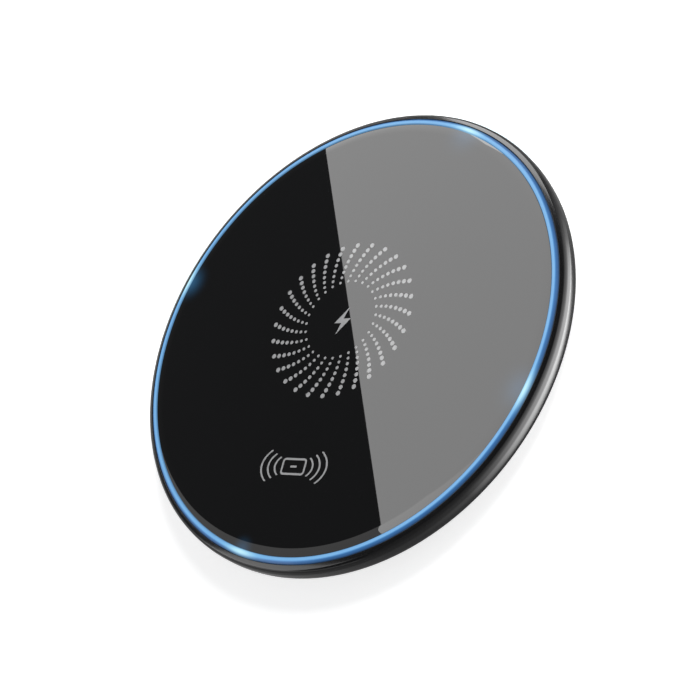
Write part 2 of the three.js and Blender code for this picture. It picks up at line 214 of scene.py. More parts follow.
def stadium_solid(name, layers, closed=False):
    """Lofts stadiums of (width, height, y), in order, about the port's axis.

    A closed one joins its last layer to its first; an open one is capped at both ends.
    """
    bm = bmesh.new()
    loops = [
        [bm.verts.new((x * MM, y * MM, (PORT_Z + z) * MM)) for x, z in stadium(width, height)]
        for width, height, y in layers
    ]
    for first, second in zip(loops, loops[1:]):
        bridge_loops(bm, first, second)
    if closed:
        bridge_loops(bm, loops[-1], loops[0])
    else:
        bm.faces.new(loops[0])
        bm.faces.new(loops[-1])
    return finish_mesh(name, bm)


def add_box(bm, low, high):
    """Adds a box between two corners, in millimetres, to a bmesh."""
    size = [(b - a) * MM for a, b in zip(low, high)]
    centre = [(a + b) / 2 * MM for a, b in zip(low, high)]
    bmesh.ops.create_cube(bm, size=1, matrix=Matrix.Translation(centre) @ Matrix.Diagonal((*size, 1)))


def boxes(name, corners, bevel=0.0):
    """One mesh of boxes given by their corners, with bevelled edges."""
    bm = bmesh.new()
    for low, high in corners:
        add_box(bm, low, high)
    if bevel > 0:
        bmesh.ops.bevel(bm, geom=bm.edges[:], offset=bevel * MM, segments=2, profile=0.6, affect="EDGES")
    return finish_mesh(name, bm)


def combine(obj, others, operation):
    """Joins others to obj, or cuts them from it, and removes them."""
    for other in others:
        modifier = obj.modifiers.new(operation.lower(), "BOOLEAN")
        modifier.operation = operation
        modifier.solver = "EXACT"
        modifier.object = other
        bpy.context.view_layer.update()
        evaluated = obj.evaluated_get(bpy.context.evaluated_depsgraph_get())
        mesh = bpy.data.meshes.new_from_object(evaluated)
        obj.modifiers.clear()
        obj.data = mesh
        bpy.data.objects.remove(other)
    obj.data.shade_smooth()
    obj.data.set_sharp_from_angle(angle=math.radians(CUT_SHARP_DEGREES))


# ---------------------------------------------------------------- material helpers


class Nodes:
    """Short calls for building one node material."""

    def __init__(self, name):
        self.material = bpy.data.materials.new(name)
        self.material.use_nodes = True
        self.tree = self.material.node_tree
        self.shader = self.tree.nodes["Principled BSDF"]
        self.place = self.add("ShaderNodeTexCoord").outputs["Object"]

    def add(self, kind, **settings):
        node = self.tree.nodes.new(kind)
        for key, value in settings.items():
            setattr(node, key, value)
        return node

    def link(self, source, target):
        if isinstance(source, (int, float)):
            target.default_value = source
        else:
            self.tree.links.new(source, target)

    def math(self, operation, first, second=0.0):
        node = self.add("ShaderNodeMath", operation=operation)
        self.link(first, node.inputs[0])
        self.link(second, node.inputs[1])
        return node.outputs[0]

    def noise(self, scale, detail=3.0):
        node = self.add("ShaderNodeTexNoise")
        self.link(self.place, node.inputs["Vector"])
        node.inputs["Scale"].default_value = scale
        node.inputs["Detail"].default_value = detail
        return node.outputs["Fac"]

    def remap(self, value, low, high, to_low=0.0, to_high=1.0, smooth=False):
        node = self.add("ShaderNodeMapRange", interpolation_type="SMOOTHSTEP" if smooth else "LINEAR")
        self.link(value, node.inputs["Value"])
        for key, number in zip(("From Min", "From Max", "To Min", "To Max"), (low, high, to_low, to_high)):
            node.inputs[key].default_value = number
        return node.outputs["Result"]

    def ramp(self, value, stops):
        node = self.add("ShaderNodeValToRGB")
        self.link(value, node.inputs["Fac"])
        elements = node.color_ramp.elements
        while len(elements) < len(stops):
            elements.new(0.5)
        for element, (position, color) in zip(elements, stops):
            element.position = position
            element.color = (*color, 1.0)
        return node.outputs["Color"]

    def mix(self, factor, first, second):
        node = self.add("ShaderNodeMix", data_type="RGBA")
        self.link(factor, node.inputs["Factor"])
        for source, socket in ((first, node.inputs["A"]), (second, node.inputs["B"])):
            if isinstance(source, tuple):
                socket.default_value = (*source, 1.0)
            else:
                self.link(source, socket)
        return node.outputs["Result"]

    def bump(self, height, strength, distance_mm):
        node = self.add("ShaderNodeBump")
        node.inputs["Strength"].default_value = strength
        node.inputs["Distance"].default_value = distance_mm * MM
        self.link(height, node.inputs["Height"])
        self.link(node.outputs["Normal"], self.shader.inputs["Normal"])

    def set(self, **values):
        for key, value in values.items():
            self.link(value, self.shader.inputs[key.replace("_", " ")])

    def radius_and_angle(self):
        """Distance from the pad's axis in metres, and angle round it in radians."""
        parts = self.add("ShaderNodeSeparateXYZ")
        self.link(self.place, parts.inputs[0])
        x, y = parts.outputs["X"], parts.outputs["Y"]
        squares = self.math("ADD", self.math("MULTIPLY", x, x), self.math("MULTIPLY", y, y))
        return self.math("SQRT", squares), self.math("ARCTAN2", y, x)

    def nearness_to_leds(self, radius, reach, led_degrees=LED_DEGREES):
        """1 at each LED, falling smoothly to 0 at reach metres from it."""
        total = None
        for degrees in led_degrees:
            point = (radius * math.cos(math.radians(degrees)), radius * math.sin(math.radians(degrees)))
            distance = self.add("ShaderNodeVectorMath", operation="DISTANCE")
            flat = self.add("ShaderNodeVectorMath", operation="MULTIPLY")
            self.link(self.place, flat.inputs[0])
            flat.inputs[1].default_value = (1, 1, 0)
            self.link(flat.outputs["Vector"], distance.inputs[0])
            distance.inputs[1].default_value = (*point, 0)
            near = self.remap(distance.outputs["Value"], 0.0, reach, 1.0, 0.0, smooth=True)
            total = near if total is None else self.math("ADD", total, near)
        return total


GLOSS_SPREAD = 0.06                  # how far a mottled finish's roughness strays either way
GRAIN_DEPTH = 0.02                   # how deep its grain is, in mm


def mottled(name, dark, light, roughness, metallic=0.0, scale=400.0, bump=0.0):
    """A plain moulded, cast or plated finish: mottled colour, uneven gloss and a fine grain."""
    nodes = Nodes(name)
    grain = nodes.noise(scale)
    cloud = nodes.noise(scale / 12, detail=2.0)
    nodes.link(nodes.mix(grain, dark, light), nodes.shader.inputs["Base Color"])
    nodes.link(
        nodes.remap(cloud, 0.3, 0.7, roughness - GLOSS_SPREAD, roughness + GLOSS_SPREAD),
        nodes.shader.inputs["Roughness"],
    )
    nodes.shader.inputs["Metallic"].default_value = metallic
    if bump > 0:
        nodes.bump(nodes.noise(scale * 3), bump, GRAIN_DEPTH)
    return nodes.material


replaced_nodes = set()


def keep(obj, material, slot, *replaced):
    """Finishes a piece: its material, its body and the CAD nodes that it stands for. Its slot argument is
    not used.
    """
    obj.data.materials.clear()
    obj.data.materials.append(material)
    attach(obj, BODY)
    if replaced:
        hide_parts(*replaced)
        replaced_nodes.update(replaced)


# ---------------------------------------------------------------- top glass

PAINTED_LED_GLOWS = (                       # LEDs, and the reach, falloff and strength of the painted glow that stands in for their light on the glass
    (LED_DEGREES[1:2], 0.0068, 2.4, 1.0),
    (LED_DEGREES[2:3], 0.0038, 1.8, 0.5),
    ((LED_DEGREES[0], LED_DEGREES[3]), 0.009, 3.0, 0.45),
)


def glass_material():
    nodes = Nodes("black_backed_glass")
    smudge = nodes.noise(60.0, detail=4.0)
    color = nodes.mix(smudge, (0.0014, 0.0014, 0.0016), (0.0022, 0.0022, 0.0025))
    nodes.link(color, nodes.shader.inputs["Base Color"])
    nodes.link(nodes.remap(smudge, 0.3, 0.8, 0.004, 0.010), nodes.shader.inputs["Roughness"])
    nodes.set(IOR=1.5)
    # Painted glow: the glass emits blue near each LED, standing in for the LEDs' light spilling onto it.
    painted_glass_glow = 0.0
    for led_degrees, reach, falloff, strength in PAINTED_LED_GLOWS:
        near = nodes.math("POWER", nodes.nearness_to_leds(LIP_INNER * MM, reach, led_degrees), falloff)
        painted_glass_glow = nodes.math("ADD", nodes.math("MULTIPLY", near, strength), painted_glass_glow)
    nodes.link(
        nodes.mix(painted_glass_glow, (0.0, 0.0, 0.0), (0.05, 0.24, 0.50)),
        nodes.shader.inputs["Emission Color"],
    )
    nodes.shader.inputs["Emission Strength"].default_value = 0.36
    return nodes.material


BEVEL_WIDTH = 1.7                    # the glass falls away over this width, ever more steeply
BEVEL_FALL = 0.2
BEVEL_EVEN = 0.3                     # the part of its fall that is an even slope
BEVEL_EDGE = 0.03                    # a narrow strip at each side of it
BEVEL_START = GLASS_RADIUS - BEVEL_EDGE - BEVEL_WIDTH


def bevel_slope(radius):
    """How steeply the glass falls away at a radius."""
    t = (radius - BEVEL_START) / BEVEL_WIDTH
    return BEVEL_FALL * (BEVEL_EVEN + 2 * (1 - BEVEL_EVEN) * t) / BEVEL_WIDTH if t > 0 else 0.0


def top_glass():
    profile = [
        (0, GLASS_BOTTOM, 0),
        (GLASS_RADIUS - 0.15, GLASS_BOTTOM, 0),
        (GLASS_RADIUS, GLASS_BOTTOM + 0.15, 0.05),
        (GLASS_RADIUS, PAD_HEIGHT - BEVEL_FALL - 0.06, 0.04),
    ]
    steps = 14
    for step in range(steps, 0, -1):
        t = step / steps
        drop = BEVEL_FALL * (BEVEL_EVEN * t + (1 - BEVEL_EVEN) * t ** 2)
        profile.append((BEVEL_START + BEVEL_WIDTH * t, PAD_HEIGHT - drop, 0))
    profile.append((BEVEL_START, PAD_HEIGHT, 0))
    profile.append((BEVEL_START - BEVEL_EDGE, PAD_HEIGHT, 0))
    profile.append((0, PAD_HEIGHT, 0))
    return turned("glass_disc", profile, closed=False)


keep(top_glass(), glass_material(), "top_glass", "top_glass")

# ---------------------------------------------------------------- printed marks on the glass

PRINT_LIFT = 0.006                   # the ink's top face over the glass
PRINT_DEPTH = 0.05
SWIRL_CENTRE = (-0.62, 2.4)
SWIRL_ARMS = 28
SWIRL_DOTS = 8
SWIRL_FIRST_RADIUS = 8.53
SWIRL_STEP = 1.151
SWIRL_FIRST_DEGREES = -110.8
SWIRL_TWIST_DEGREES = -2.13
SYMBOL_CENTRE = (0.0, 2.0)
PICTOGRAM_CENTRE = (-2.1, -29.0)


def ink_material():
    nodes = Nodes("printed_ink")
    grain = nodes.noise(2500.0, detail=2.0)
    nodes.link(nodes.mix(grain, (0.40, 0.40, 0.405), (0.49, 0.49, 0.495)), nodes.shader.inputs["Base Color"])
    nodes.link(nodes.remap(grain, 0.3, 0.7, 0.03, 0.07), nodes.shader.inputs["Roughness"])
    nodes.set(IOR=1.5)
    return nodes.material


def add_print(bm, outline):
    """Adds a flat printed shape, a closed outline in millimetres, as a thin raised solid."""
    top = [bm.verts.new((x * MM, y * MM, (PAD_HEIGHT + PRINT_LIFT) * MM)) for x, y in outline]
    bottom = [bm.verts.new((x * MM, y * MM, (PAD_HEIGHT - PRINT_DEPTH) * MM)) for x, y in outline]
    bm.faces.new(top)
    bm.faces.new(bottom)
    bridge_loops(bm, top, bottom)


def circle(centre, radius, steps=20):
    return [
        (
            centre[0] + radius * math.cos(2 * math.pi * step / steps),
            centre[1] + radius * math.sin(2 * math.pi * step / steps),
        )
        for step in range(steps)
    ]


def rounded_rectangle(centre, width, height, radius, steps=6):
    points = []
    for quarter in range(4):
        side_x = (1, -1, -1, 1)[quarter]
        side_y = (1, 1, -1, -1)[quarter]
        for step in range(steps + 1):
            angle = math.pi / 2 * (quarter + step / steps)
            points.append((
                centre[0] + side_x * (width / 2 - radius) + radius * math.cos(angle),
                centre[1] + side_y * (height / 2 - radius) + radius * math.sin(angle),
            ))
    return points


def add_print_frame(bm, outer, inner):
    """Adds a printed outline between two closed outlines of equal length."""
    loops = []
    top, bottom = PRINT_LIFT, -PRINT_DEPTH
    for outline, z in ((outer, top), (inner, top), (inner, bottom), (outer, bottom)):
        loops.append([bm.verts.new((x * MM, y * MM, (PAD_HEIGHT + z) * MM)) for x, y in outline])
    for first, second in zip(loops, loops[1:] + loops[:1]):
        bridge_loops(bm, first, second)


def dot_swirl():
    """Curved arms of dots that grow outwards."""
    bm = bmesh.new()
    for arm in range(SWIRL_ARMS):
        for dot in range(SWIRL_DOTS):
            distance = SWIRL_FIRST_RADIUS + SWIRL_STEP * dot
            degrees = SWIRL_FIRST_DEGREES + SWIRL_TWIST_DEGREES * dot + 360 * arm / SWIRL_ARMS
            centre = (
                SWIRL_CENTRE[0] + distance * math.cos(math.radians(degrees)),
                SWIRL_CENTRE[1] + distance * math.sin(math.radians(degrees)),
            )
            add_print(bm, circle(centre, 0.30 + 0.030 * dot))
    return finish_mesh("printed_dots", bm)


def charging_symbol():
    """A plain lightning bolt in the middle of the swirl."""
    bolt = [(0.9, 3.0), (-1.9, -0.45), (-0.15, -0.45), (-0.9, -3.0), (1.9, 0.55), (0.15, 0.55)]
    bm = bmesh.new()
    add_print(bm, [(SYMBOL_CENTRE[0] + x, SYMBOL_CENTRE[1] + y) for x, y in bolt])
    return finish_mesh("printed_bolt", bm)


def placing_pictogram():
    """A phone outline with three charging waves on each side."""
    bm = bmesh.new()
    phone_width, phone_height, corner, line = 6.0, 3.5, 0.8, 0.42
    add_print_frame(
        bm,
        rounded_rectangle(PICTOGRAM_CENTRE, phone_width, phone_height, corner),
        rounded_rectangle(PICTOGRAM_CENTRE, phone_width - 2 * line, phone_height - 2 * line, corner - line),
    )
    add_print(bm, rounded_rectangle(PICTOGRAM_CENTRE, 1.6, 0.42, 0.2))
    half_angle = math.radians(40)
    flattening = 0.62
    steps = 16
    forth, back = range(steps + 1), range(steps, -1, -1)
    for side in (1, -1):
        for distance in (4.7, 6.4, 8.1):
            outline = []
            for radius, order in ((distance + line / 2, forth), (distance - line / 2, back)):
                for step in order:
                    angle = half_angle * (2 * step / steps - 1)
                    outline.append((
                        PICTOGRAM_CENTRE[0] + side * radius * math.cos(angle),
                        PICTOGRAM_CENTRE[1] + radius * math.sin(angle) * flattening,
                    ))
            add_print(bm, outline)
    return finish_mesh("printed_pictogram", bm)


ink = ink_material()
for marks in (dot_swirl(), charging_symbol(), placing_pictogram()):
    keep(marks, ink, "print")

# ---------------------------------------------------------------- light ring


def ring_material():
    nodes = Nodes("lit_acrylic")
    radius, _ = nodes.radius_and_angle()
    across = nodes.remap(radius, LIP_INNER * MM, LIP_OUTER * MM)
    glow = nodes.ramp(across, [
        (0.00, (0.10, 0.24, 0.42)),
        (0.13, (0.19, 0.43, 0.72)),
        (0.40, (0.19, 0.45, 0.76)),
        (0.52, (0.09, 0.27, 0.55)),
        (0.62, (0.034, 0.125, 0.32)),
        (0.80, (0.024, 0.080, 0.20)),
        (0.92, (0.010, 0.024, 0.052)),
    ])
    crown = nodes.ramp(across, [
        (0.00, (0.25,) * 3), (0.22, (0.90,) * 3), (0.40, (1.0,) * 3),
        (0.58, (0.60,) * 3), (0.78, (0.18,) * 3), (1.00, (0.04,) * 3),
    ])
    streak = nodes.math("POWER", nodes.nearness_to_leds((LIP_INNER + 0.6) * MM, 0.0105), 1.8)
    core = nodes.math("POWER", nodes.nearness_to_leds((LIP_INNER + 0.65) * MM, 0.0058), 1.5)
    streak = nodes.math("MULTIPLY", streak, crown)
    core = nodes.math("MULTIPLY", core, crown)
    uneven = nodes.remap(nodes.noise(160.0, detail=2.0), 0.3, 0.7, 0.0, 0.10)
    lit = nodes.mix(streak, glow, (0.22, 0.55, 0.85))
    lit = nodes.mix(core, lit, (0.56, 0.90, 0.96))
    lit = nodes.mix(uneven, lit, (0.06, 0.22, 0.58))
    nodes.link(lit, nodes.shader.inputs["Emission Color"])
    nodes.shader.inputs["Emission Strength"].default_value = 1.0
    nodes.link(nodes.mix(uneven, (0.01, 0.03, 0.07), (0.02, 0.05, 0.10)), nodes.shader.inputs["Base Color"])
    nodes.link(nodes.remap(nodes.noise(900.0), 0.3, 0.7, 0.18, 0.3), nodes.shader.inputs["Roughness"])
    nodes.set(IOR=1.49)
    nodes.shader.inputs["Specular IOR Level"].default_value = 0.12
    return nodes.material


def light_ring():
    flange_inner = 44.5
    flange_top = 6.2
    crown_outer = LIP_INNER + 0.72
    return turned("light_ring", [
        (flange_inner, GUIDE_SEAT, 0.1),
        (LIP_OUTER - 0.12, GUIDE_SEAT, 0.1),
        (LIP_OUTER - 0.12, LIP_OUTER_TOP, 0.06),
        (crown_outer, LIP_TOP, 0.3),
        (LIP_INNER, LIP_TOP, 0.08),
        (LIP_INNER, flange_top, 0.1),
        (flange_inner, flange_top, 0.1),
    ], closed=True)


keep(light_ring(), ring_material(), "light_guide", "light_guide_ring")

# ---------------------------------------------------------------- side frame


def gloss_black_material():
    nodes = Nodes("gloss_black_plastic")
    cloud = nodes.noise(90.0)
    color = nodes.mix(cloud, (0.0035, 0.0035, 0.004), (0.006, 0.006, 0.0065))
    nodes.link(color, nodes.shader.inputs["Base Color"])
    nodes.link(nodes.remap(cloud, 0.3, 0.7, 0.14, 0.18), nodes.shader.inputs["Roughness"])
    nodes.set(IOR=1.5)
    nodes.shader.inputs["Specular IOR Level"].default_value = 0.3
    nodes.bump(nodes.noise(700.0, detail=1.0), 0.04, 0.004)
    return nodes.material


def side_frame():
    inner = LIP_OUTER - 0.05
    wall_inner = 47.9
    ledge_inner = 43.9
    ledge_top = 2.3
    base_top = 1.5
    frame_obj = turned("case_frame", [
        (BASE_RADIUS + 0.1, FRAME_BOTTOM, 0.1),
        (46.7, FRAME_BOTTOM, 0.5),
        (PAD_RADIUS - 0.1, 3.25, 0.45),
        (PAD_RADIUS, 3.95, 0.7),
        (PAD_RADIUS, 5.5, 1.4),
        (PAD_RADIUS - 0.24, 6.45, 1.0),
        (PAD_RADIUS - 0.66, 6.86, 0.7),
        (inner + 0.06, LIP_OUTER_TOP + 0.13, 0.08),
        (inner, LIP_OUTER_TOP - 0.04, 0.03),
        (inner, GUIDE_SEAT, 0),
        (wall_inner, GUIDE_SEAT, 0),
        (wall_inner, ledge_top, 0.1),
        (ledge_inner, ledge_top, 0.1),
        (ledge_inner, base_top, 0),
        (BASE_RADIUS + 0.1, base_top, 0),
    ], closed=True)
    collar_size, collar_front_size = (12.4, 3.1), (12.16, 2.9)
    collar = stadium_solid("collar", [
        (*collar_size, wall_inner + 0.3),
        (*collar_size, PORT_FACET_Y - 0.12),
        (*collar_front_size, PORT_FACET_Y),
    ])
    facet = boxes("facet", [((-15, PORT_FACET_Y, -1), (15, PORT_FACET_Y + 5, 5.2))])
    bay_back, bay_half_width = 41.9, 5.8
    bay = boxes("bay", [
        ((-bay_half_width, bay_back, base_top), (bay_half_width, wall_inner, ledge_top + 1)),
    ])
    throat_size = (PORT_WIDTH + 0.2, PORT_HEIGHT + 0.14)
    flare_size = (PORT_WIDTH + 0.5, PORT_HEIGHT + 0.44)
    mouth = stadium_solid("mouth", [
        (*throat_size, bay_back),
        (*throat_size, PORT_FACET_Y - 0.15),
        (*flare_size, PORT_FACET_Y + 0.001),
        (*flare_size, PAD_RADIUS + 1),
    ])
    combine(frame_obj, [collar], "UNION")
    combine(frame_obj, [facet, bay, mouth], "DIFFERENCE")
    return frame_obj


keep(side_frame(), gloss_black_material(), "frame_plastic", "side_frame")

# ---------------------------------------------------------------- USB-C socket


def plated_steel_material():
    nodes = Nodes("plated_steel")
    grain = nodes.noise(1800.0, detail=4.0)
    nodes.link(nodes.mix(grain, (0.50, 0.51, 0.53), (0.66, 0.67, 0.69)), nodes.shader.inputs["Base Color"])
    nodes.link(nodes.remap(grain, 0.3, 0.7, 0.22, 0.36), nodes.shader.inputs["Roughness"])
    nodes.set(Metallic=1.0)
    nodes.bump(nodes.noise(900.0), 0.08, 0.004)
    return nodes.material


def usb_shell():
    """The drawn steel tube of the socket, its mouth rolled outwards a little."""
    inner_width = PORT_WIDTH - 2 * PORT_WALL
    inner_height = PORT_HEIGHT - 2 * PORT_WALL
    edge = 0.1
    return stadium_solid("usb_shell", [
        (PORT_WIDTH, PORT_HEIGHT, PORT_BACK),
        (PORT_WIDTH, PORT_HEIGHT, PORT_FRONT - edge),
        (PORT_WIDTH - edge, PORT_HEIGHT - edge, PORT_FRONT),
        (inner_width + edge, inner_height + edge, PORT_FRONT),
        (inner_width, inner_height, PORT_FRONT - edge),
        (inner_width, inner_height, PORT_BACK),
    ], closed=True)


TONGUE_LOW, TONGUE_HIGH = (Vector(corner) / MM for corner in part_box("usb_c_tongue"))
TONGUE_HALF_WIDTH = 3.35
TONGUE_HALF_THICKNESS = 0.35
CARRIER_DEPTH = 1.7


def usb_tongue():
    """The moulded carrier at the back of the socket, with the tongue that stands out of it."""
    carrier_front = TONGUE_LOW.y + CARRIER_DEPTH
    return boxes("usb_tongue", [
        (TONGUE_LOW, (TONGUE_HIGH.x, carrier_front, TONGUE_HIGH.z)),
        (
            (-TONGUE_HALF_WIDTH, carrier_front - 0.3, PORT_Z - TONGUE_HALF_THICKNESS),
            (TONGUE_HALF_WIDTH, TONGUE_HIGH.y, PORT_Z + TONGUE_HALF_THICKNESS),
        ),
    ], bevel=0.1)


def usb_contacts():
    """Twelve gold pads on each face of the tongue."""
    count, pitch, half_width, half_depth = 12, 0.5, 0.13, 0.03
    back, front = TONGUE_LOW.y + CARRIER_DEPTH + 0.1, TONGUE_HIGH.y - 0.5
    corners = []
    for index in range(count):
        x = (index - (count - 1) / 2) * pitch
        for side in (1, -1):
            face = PORT_Z + side * TONGUE_HALF_THICKNESS
            low = (x - half_width, back, face - half_depth)
            high = (x + half_width, front, face + half_depth)
            corners.append((low, high))
    return boxes("usb_contacts", corners)


keep(usb_shell(), plated_steel_material(), "plated_steel", "usb_c_shell")
keep(
    usb_tongue(),
    mottled("black_nylon", (0.012, 0.012, 0.013), (0.02, 0.02, 0.021), 0.5, bump=0.1),
    "chip_epoxy",
    "usb_c_tongue",
)
keep(
    usb_contacts(),
    mottled("gold_contacts", (0.72, 0.46, 0.14), (0.86, 0.58, 0.22), 0.26, metallic=1.0),
    "coil_wire",
)

# ---------------------------------------------------------------- foot ring and label


def foot_ring():
    middle = (FOOT_INNER + FOOT_OUTER) / 2
    groove = 0.35
    return turned("foot_ring", [
        (FOOT_INNER, FOOT_TOP, 0.05),
        (FOOT_INNER, 0.0, 0.25),
        (middle - groove, 0.0, 0.08),
        (middle - groove / 2, 0.14, 0.05),
        (middle + groove / 2, 0.14, 0.05),
        (middle + groove, 0.0, 0.08),
        (FOOT_OUTER, 0.0, 0.25),
        (FOOT_OUTER, FOOT_TOP, 0.05),
    ], closed=True)


def blank_label():
    bottom, top = bottom_of("rating_label"), top_of("rating_label")
    return turned("blank_label", [
        (0, bottom, 0),
        (LABEL_RADIUS - 0.5, bottom, 0),
        (LABEL_RADIUS, bottom + 0.03, 0.02),
        (LABEL_RADIUS, top, 0),
        (0, top, 0),
    ], closed=False)


keep(
    foot_ring(),
    mottled("silicone", (0.010, 0.010, 0.011), (0.018, 0.018, 0.019), 0.62, bump=0.25),
    "foot_rubber",
    "anti_slip_ring",
)
keep(
    blank_label(),
    mottled("satin_label", (0.36, 0.37, 0.38), (0.42, 0.43, 0.44), 0.42, scale=900.0, bump=0.05),
    "label",
    "rating_label",
)

# ---------------------------------------------------------------- CAD nodes that stay

CAD_FINISHES = {
    "base_plastic": mottled(
        "textured_plastic", (0.010, 0.010, 0.011), (0.020, 0.020, 0.021), 0.58, scale=900.0, bump=0.5,
    ),
    "plated_steel": plated_steel_material(),
    "clear_adhesive": mottled("adhesive_film", (0.50, 0.50, 0.46), (0.62, 0.62, 0.58), 0.35),
    "white_film": mottled("reflector_film", (0.78, 0.78, 0.76), (0.85, 0.85, 0.83), 0.4),
    "coil_wire": mottled(
        "enamelled_copper", (0.55, 0.20, 0.07), (0.76, 0.34, 0.15), 0.3, metallic=1.0, bump=0.2,
    ),
    "ferrite": mottled("ferrite", (0.03, 0.03, 0.029), (0.05, 0.05, 0.047), 0.7, bump=0.3),
    "board": mottled("solder_mask", (0.012, 0.09, 0.04), (0.02, 0.13, 0.06), 0.32, scale=250.0, bump=0.1),
    "chip_epoxy": mottled("moulded_epoxy", (0.018, 0.018, 0.02), (0.03, 0.03, 0.032), 0.55, bump=0.2),
    "ceramic": mottled("chip_ceramic", (0.36, 0.25, 0.14), (0.48, 0.35, 0.22), 0.45, bump=0.1),
    "led": mottled("led_package", (0.80, 0.78, 0.66), (0.92, 0.90, 0.80), 0.3),
}

for subpart in frame["record"]["subparts"]:
    if subpart["node"] not in replaced_nodes:
        cad_node = frame["nodes"][subpart["node"]]
        cad_node.data.materials.clear()
        cad_node.data.materials.append(CAD_FINISHES[subpart["material_slot"]])

# ---------------------------------------------------------------- camera, from the photograph's fit

LENS_MM = 83.9
SENSOR_MM = 36.0
CAMERA_AZIMUTH = 61.4
CAMERA_ELEVATION = 45.4365
CAMERA_ROLL = -53.4267
RING_RADIUS = 47.15 * MM             # the unit of the distances below
AIM_HEIGHT = PAD_HEIGHT - 0.2        # the height of the point that the camera is placed from
CAMERA_DISTANCE = 6.8413 * RING_RADIUS
CAMERA_SLIDE = (0.0400 * RING_RADIUS, -0.0816 * RING_RADIUS)


def add_camera():
    azimuth, elevation, roll = (math.radians(v) for v in (CAMERA_AZIMUTH, CAMERA_ELEVATION, CAMERA_ROLL))
    back = Vector((
        math.sin(azimuth) * math.cos(elevation),
        -math.cos(azimuth) * math.cos(elevation),
        math.sin(elevation),
    ))
    level_right = Vector((math.cos(azimuth), math.sin(azimuth), 0))
    level_up = back.cross(level_right)
    right = math.cos(roll) * level_right + math.sin(roll) * level_up
    up = -math.sin(roll) * level_right + math.cos(roll) * level_up
    place = right * CAMERA_SLIDE[0] + up * CAMERA_SLIDE[1] + back * CAMERA_DISTANCE
    place.z += AIM_HEIGHT * MM
    data = bpy.data.cameras.new("camera")
    data.lens = LENS_MM
    data.sensor_width = SENSOR_MM
    data.clip_start = 0.01
    camera = bpy.data.objects.new("camera", data)
    camera.matrix_world = Matrix((
        (right.x, up.x, back.x, place.x),
        (right.y, up.y, back.y, place.y),
        (right.z, up.z, back.z, place.z),
        (0, 0, 0, 1),
    ))
    bpy.context.scene.collection.objects.link(camera)
    bpy.context.scene.camera = camera
    return camera


camera = add_camera()

# ---------------------------------------------------------------- floor, world and light cards


def glow_material(name, radiance):
    material = bpy.data.materials.new(name)
    material.use_nodes = True
    tree = material.node_tree
    tree.nodes.clear()
    emission = tree.nodes.new("ShaderNodeEmission")
    emission.inputs["Strength"].default_value = radiance
    output = tree.nodes.new("ShaderNodeOutputMaterial")
    tree.links.new(emission.outputs[0], output.inputs["Surface"])
    return material


def card(name, corners, material):
    """A glowing flat card through four points, hidden from the camera."""
    bm = bmesh.new()
    bm.faces.new([bm.verts.new(corner) for corner in corners])
    mesh = bpy.data.meshes.new(name)
    bm.to_mesh(mesh)
    bm.free()
    obj = bpy.data.objects.new(name, mesh)
    bpy.context.scene.collection.objects.link(obj)
    mesh.materials.append(material)
    obj.visible_camera = False
    return obj


def facing_card(name, degrees, elevation, distance, width, height, radiance):
    """A card that faces the pad from a direction: angle from +X and elevation, in degrees.

    Its distance, width and height are in metres.
    """
    angle, lift = math.radians(degrees), math.radians(elevation)
    outwards = Vector((math.cos(angle) * math.cos(lift), math.sin(angle) * math.cos(lift), math.sin(lift)))
    across = Vector((-math.sin(angle), math.cos(angle), 0))
    upwards = outwards.cross(across)
    centre = outwards * distance
    corners = [
        centre + across * (side_a * width / 2) + upwards * (side_b * height / 2)
        for side_a, side_b in ((-1, -1), (1, -1), (1, 1), (-1, 1))
    ]
    return card(name, corners, glow_material(name, radiance))


CARD_HEIGHT = 0.45                   # the ceiling cards, over the glass, in metres
GLARE_POINT = Vector((2.6, 1.05))    # a point of the glare's straight edge on the glass, in mm
GLARE_ALONG = Vector((0.4348, -0.9005))
GLARE_RADIANCE = (4.2, 4.8)          # at its far and near ends
LOWER_RIM_RADIANCE = 1.05
NEAR_RIM_RADIANCE = 5.6


def mirrored(point, height=CARD_HEIGHT):
    """Where, at a height, the camera sees the ceiling mirrored by a point (in mm) of the glass."""
    eye = camera.matrix_world.translation
    place = Vector((point.x * MM, point.y * MM, PAD_HEIGHT * MM))
    slope = bevel_slope(point.length)
    outwards = point.normalized() if slope > 0 else Vector((0, 0))
    normal = Vector((outwards.x * slope, outwards.y * slope, 1)).normalized()
    view = (eye - place).normalized()
    ray = normal * 2 * normal.dot(view) - view
    return place + ray * (height / ray.z)


PAST_RIM = 1.05                      # a little outside the bevel, as a part of its width


def rim_point(degrees, part=PAST_RIM):
    """A point of the bevel, in mm: part 0 is its inner edge and part 1 its outer edge."""
    radius = BEVEL_START + BEVEL_WIDTH * part
    return Vector((radius * math.cos(math.radians(degrees)), radius * math.sin(math.radians(degrees))))


def glare_end(side):
    """Where the glare's edge meets the glass's rim, at one side of its middle."""
    along = GLARE_ALONG * side
    middle = GLARE_POINT.dot(along)
    across = (GLARE_POINT - along * middle).length
    return GLARE_POINT + along * (math.sqrt(rim_point(0).length ** 2 - across ** 2) - middle)


def degrees_of(point):
    return math.degrees(math.atan2(point.y, point.x))


def only_mirrored(obj):
    """Lets a card show in reflections without lighting the scene or throwing a shadow."""
    obj.visible_diffuse = False
    obj.visible_shadow = False


def ceiling_card(name, points, material):
    """A flat glowing card over the pad that shows only in reflections."""
    only_mirrored(card(name, [tuple(point) for point in points], material))


def glare_material():
    nodes = Nodes("glare_card")
    parts = nodes.add("ShaderNodeSeparateXYZ")
    nodes.link(nodes.place, parts.inputs[0])
    emission = nodes.add("ShaderNodeEmission")
    strength = nodes.remap(parts.outputs["X"], -0.5, -0.15, *GLARE_RADIANCE)
    nodes.link(strength, emission.inputs["Strength"])
    nodes.link(emission.outputs[0], nodes.tree.nodes["Material Output"].inputs["Surface"])
    return nodes.material


